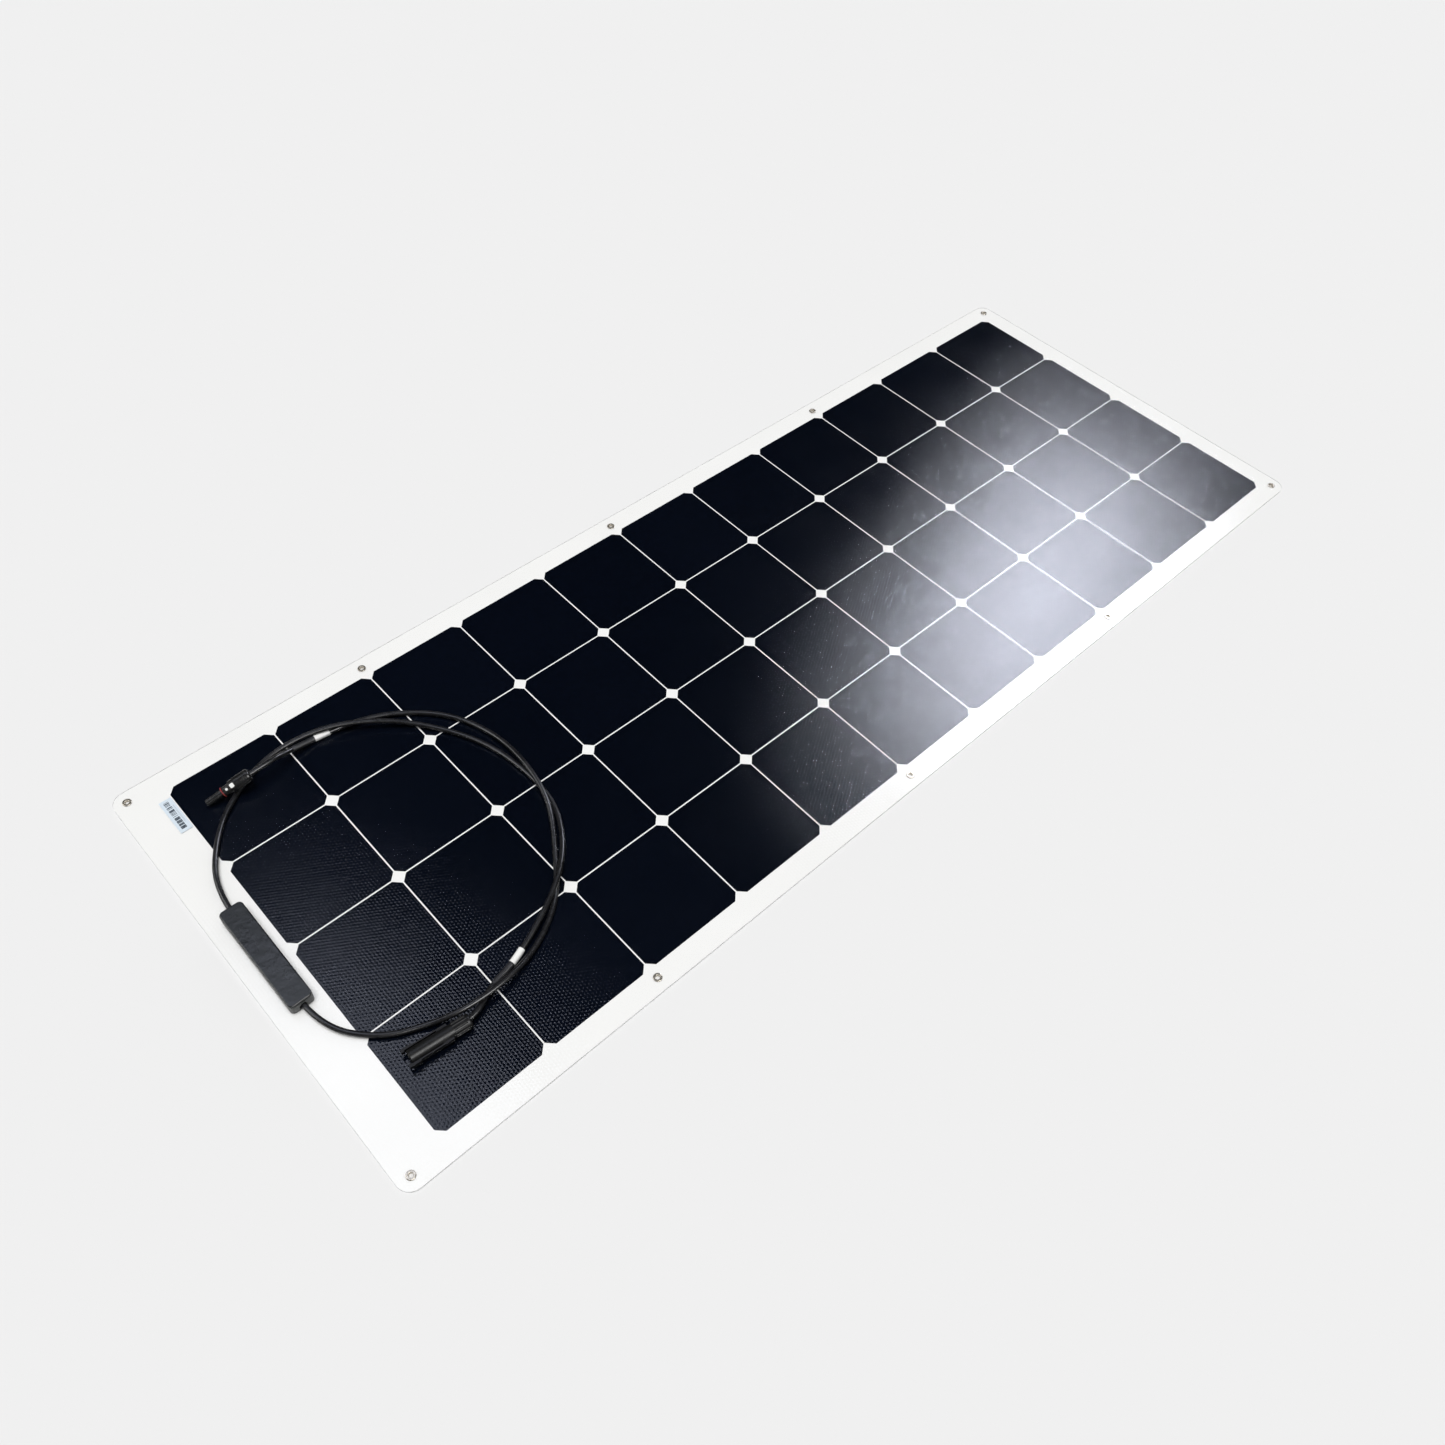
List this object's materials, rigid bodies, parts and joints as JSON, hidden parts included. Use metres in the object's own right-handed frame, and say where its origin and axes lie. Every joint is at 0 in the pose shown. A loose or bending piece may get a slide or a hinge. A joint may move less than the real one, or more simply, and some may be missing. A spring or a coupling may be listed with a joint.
{
  "type": "flexible solar sheet",
  "caption": "Thin bendable solar laminate with edge eyelets, a slim front junction box and two black leads ending in a round plug and a latching socket.",
  "frame": {"origin": "centre of the laminate's underside", "axes": "+X along the sheet away from the junction box, +Y across it towards the socket lead's box end, +Z out of the front face"},
  "size_m": [1.488, 0.565, 0.0288],
  "materials": {
    "backsheet_white": "smooth matt white sheet",
    "encapsulant_white": "opaque white, satin",
    "encapsulant_clear": "clear",
    "film_clear": "clear, finely dimpled satin",
    "cell_silicon": "dark blue-black silicon, satin under the film",
    "tinned_copper": "tinned",
    "eyelet_nickel": "nickel plated",
    "label_pale": "printed film",
    "pad_foam": "foam tape",
    "box_black": "fine moulded grain",
    "potting_grey": "cast",
    "diode_epoxy": "moulded",
    "cable_black": "satin jacket",
    "seal_rubber": "soft matt",
    "marker_white": "printed sleeve",
    "shrink_black": "shrunk tubing, satin",
    "connector_black": "fine moulded, satin",
    "cage_black": "moulded",
    "o_ring_red": "silicone",
    "contact_tin": "tin plated"
  },
  "bodies": {
    "sheet": {"adhesive_pad": "pad_foam", "backsheet": "backsheet_white", "bypass_diode_1": "diode_epoxy", "bypass_diode_2": "diode_epoxy", "cell_links_1": "tinned_copper", "cell_links_2": "tinned_copper", "cell_links_3": "tinned_copper", "cell_links_4": "tinned_copper", "cell_string_1": "cell_silicon", "cell_string_2": "cell_silicon", "cell_string_3": "cell_silicon", "cell_string_4": "cell_silicon", "centre_ribbon": "tinned_copper", "centre_terminal": "tinned_copper", "eyelet_washers": "eyelet_nickel", "eyelets": "eyelet_nickel", "far_ribbon_1_2": "tinned_copper", "far_ribbon_3_4": "tinned_copper", "front_encapsulant": "encapsulant_clear", "front_film": "film_clear", "junction_box_base": "box_black", "junction_box_lid": "box_black", "plug_clamp_cage": "cage_black", "plug_contact_sleeve": "contact_tin", "plug_gland_seal": "seal_rubber", "plug_housing": "connector_black", "plug_lead": "cable_black", "plug_lead_heat_shrink": "shrink_black", "plug_lead_marker": "marker_white", "plug_lead_seal": "seal_rubber", "plug_lead_terminal": "tinned_copper", "plug_o_ring": "o_ring_red", "potting": "potting_grey", "rear_encapsulant": "encapsulant_white", "serial_label": "label_pale", "socket_clamp_cage": "cage_black", "socket_contact_pin": "contact_tin", "socket_gland_seal": "seal_rubber", "socket_housing": "connector_black", "socket_lead": "cable_black", "socket_lead_heat_shrink": "shrink_black", "socket_lead_marker": "marker_white", "socket_lead_seal": "seal_rubber", "socket_lead_terminal": "tinned_copper", "string_1_lead": "tinned_copper", "string_4_lead": "tinned_copper"},
    "plug_nut": {"plug_gland_nut": "connector_black"},
    "socket_nut": {"socket_gland_nut": "connector_black"}
  },
  "joints": [
    {"name": "plug_nut_turn", "type": "hinge", "parent": "sheet", "child": "plug_nut", "pos_m": [-0.62319, 0.20209, 0.01947], "axis": [0.9562, -0.1157, 0.2689], "range_deg": [0, 360]},
    {"name": "socket_nut_turn", "type": "hinge", "parent": "sheet", "child": "socket_nut", "pos_m": [-0.61185, -0.18332, 0.0103], "axis": [0.9945, -0.1045, 0], "range_deg": [0, 360]}
  ]
}
